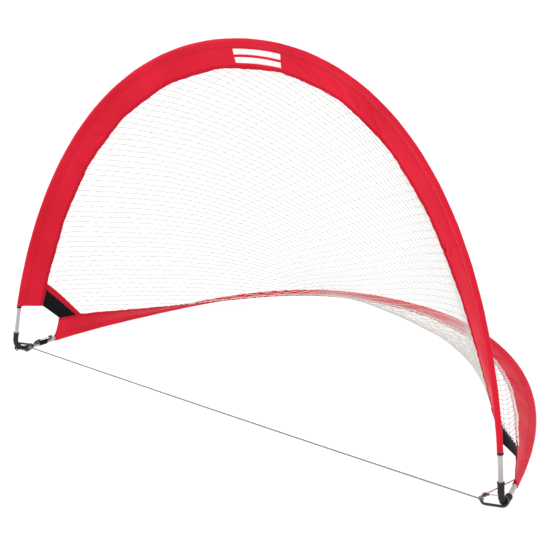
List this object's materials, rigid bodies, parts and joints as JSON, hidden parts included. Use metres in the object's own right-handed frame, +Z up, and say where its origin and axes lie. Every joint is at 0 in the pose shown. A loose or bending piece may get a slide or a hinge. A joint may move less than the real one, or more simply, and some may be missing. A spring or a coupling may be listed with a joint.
{
  "type": "pop-up sports goal",
  "caption": "Pop-up practice goal: flexible pole arches in fabric sleeves, hinged at rubber elbows, with a net bag between them and a cord across the mouth.",
  "frame": {"origin": "middle of the footprint, on the floor", "axes": "+X along the mouth from the left corner to the right one as seen by the shooter, +Y from the mouth to the back of the net, +Z up"},
  "size_m": [1.8211, 1.1113, 1.1029],
  "materials": {
    "red_cloth": "woven polyester, dull sheen",
    "black_cloth": "woven nylon, matte",
    "netting": "white knotted thread",
    "pole_plastic": "satin light grey sheath",
    "fibreglass": "smooth glass-fibre rod",
    "rubber": "matte black",
    "black_metal": "black coated wire",
    "steel": "bright wire",
    "grey_cord": "braided cord"
  },
  "bodies": {
    "base": {"rear_pole": "pole_plastic", "rear_rod": "fibreglass", "rear_sleeve": "red_cloth", "rear_net_tape": "red_cloth", "left_elbow": "rubber", "right_elbow": "rubber", "left_corner_patch": "black_cloth", "right_corner_patch": "black_cloth", "left_patch_binding": "red_cloth", "right_patch_binding": "red_cloth", "net": "netting", "left_lower_clip_body": "black_metal", "left_lower_clip_gate_pin": "steel", "right_clip_body": "black_metal", "right_clip_gate_pin": "steel", "left_cord_loop": "grey_cord", "right_cord_loop": "grey_cord", "ground_cord": "grey_cord", "tie_cord_loop": "red_cloth", "tie_cord": "red_cloth"},
    "front": {"front_pole": "pole_plastic", "front_rod": "fibreglass", "front_sleeve": "red_cloth", "front_net_tape": "red_cloth", "front_left_stop": "rubber", "front_right_stop": "rubber"},
    "left_upper_clip": {"left_keeper_strap": "black_cloth", "left_upper_clip_body": "black_metal", "left_upper_clip_gate_pin": "steel"},
    "left_lower_gate": {"left_lower_clip_gate": "steel"},
    "right_gate": {"right_clip_gate": "steel"},
    "left_upper_gate": {"left_upper_clip_gate": "steel"},
    "tie_bead": {"tie_cord_bead": "pole_plastic"}
  },
  "joints": [
    {"name": "front_fold", "type": "hinge", "parent": "base", "child": "front", "pos_m": [0, -0.50262, 0.05302], "axis": [-1, 0, 0], "range_deg": [0, 78], "stiffness_Nm_per_rad": 6, "springref_deg": -14.32, "deforming": ["net", "front_sleeve", "rear_sleeve", "front_net_tape", "rear_net_tape", "left_corner_patch", "right_corner_patch", "left_patch_binding", "right_patch_binding", "left_elbow", "right_elbow"]},
    {"name": "left_upper_clip_swing", "type": "hinge", "parent": "base", "child": "left_upper_clip", "pos_m": [-0.88406, -0.4374, 0.0084], "axis": [0.1374, 0.9905, 0], "range_deg": [-90, 45]},
    {"name": "left_lower_gate_swing", "type": "hinge", "parent": "base", "child": "left_lower_gate", "pos_m": [-0.89232, -0.54452, 0.01535], "axis": [0.005, -0.6689, 0.7433], "range_deg": [0, 25], "stiffness_Nm_per_rad": 0.05, "springref_deg": -28.65},
    {"name": "right_gate_swing", "type": "hinge", "parent": "base", "child": "right_gate", "pos_m": [0.89173, -0.5267, 0.03141], "axis": [-0.0056, -0.6693, 0.7429], "range_deg": [0, 25], "stiffness_Nm_per_rad": 0.05, "springref_deg": -28.65},
    {"name": "left_upper_gate_swing", "type": "hinge", "parent": "left_upper_clip", "child": "left_upper_gate", "pos_m": [-0.85763, -0.42703, 0.03315], "axis": [0.7004, -0.0972, -0.7071], "range_deg": [0, 25], "stiffness_Nm_per_rad": 0.05, "springref_deg": -28.65},
    {"name": "tie_bead_slide", "type": "slide", "parent": "base", "child": "tie_bead", "axis": [0.3094, 0.9501, 0.0393], "range_m": [0, 0.085]}
  ]
}
